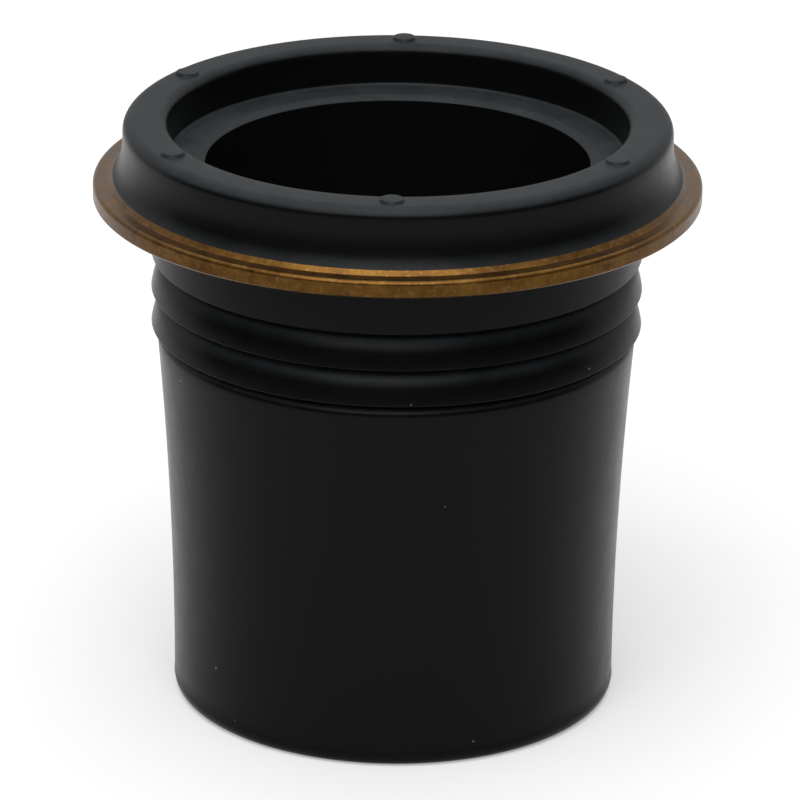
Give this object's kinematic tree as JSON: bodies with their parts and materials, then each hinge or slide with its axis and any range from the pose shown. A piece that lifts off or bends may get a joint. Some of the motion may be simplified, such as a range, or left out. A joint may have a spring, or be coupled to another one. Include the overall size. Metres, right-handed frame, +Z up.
{
  "type": "injector pipe seal",
  "caption": "Rubber sleeve seal with a stepped recess in its head, a bonded metal flange ring, barbed sealing beads and a long plain skirt, for a pipe that passes through a bore",
  "frame": {"origin": "on the seal's axis, at the bottom centre of the foot that it stands on", "axes": "+Z runs up the seal's axis from the foot to the head, and X and Y are across it; one rim pip lies toward -Y"},
  "size_m": [0.048, 0.048, 0.0482],
  "materials": {
    "rubber": "satin black moulded rubber, matter and greyer on the upward faces of the head",
    "coated_steel": "steel ring under a brown, semi-gloss bonding coat, slightly uneven"
  },
  "bodies": {
    "root": {"rubber_body": "rubber", "flange_ring": "coated_steel"}
  },
  "joints": []
}
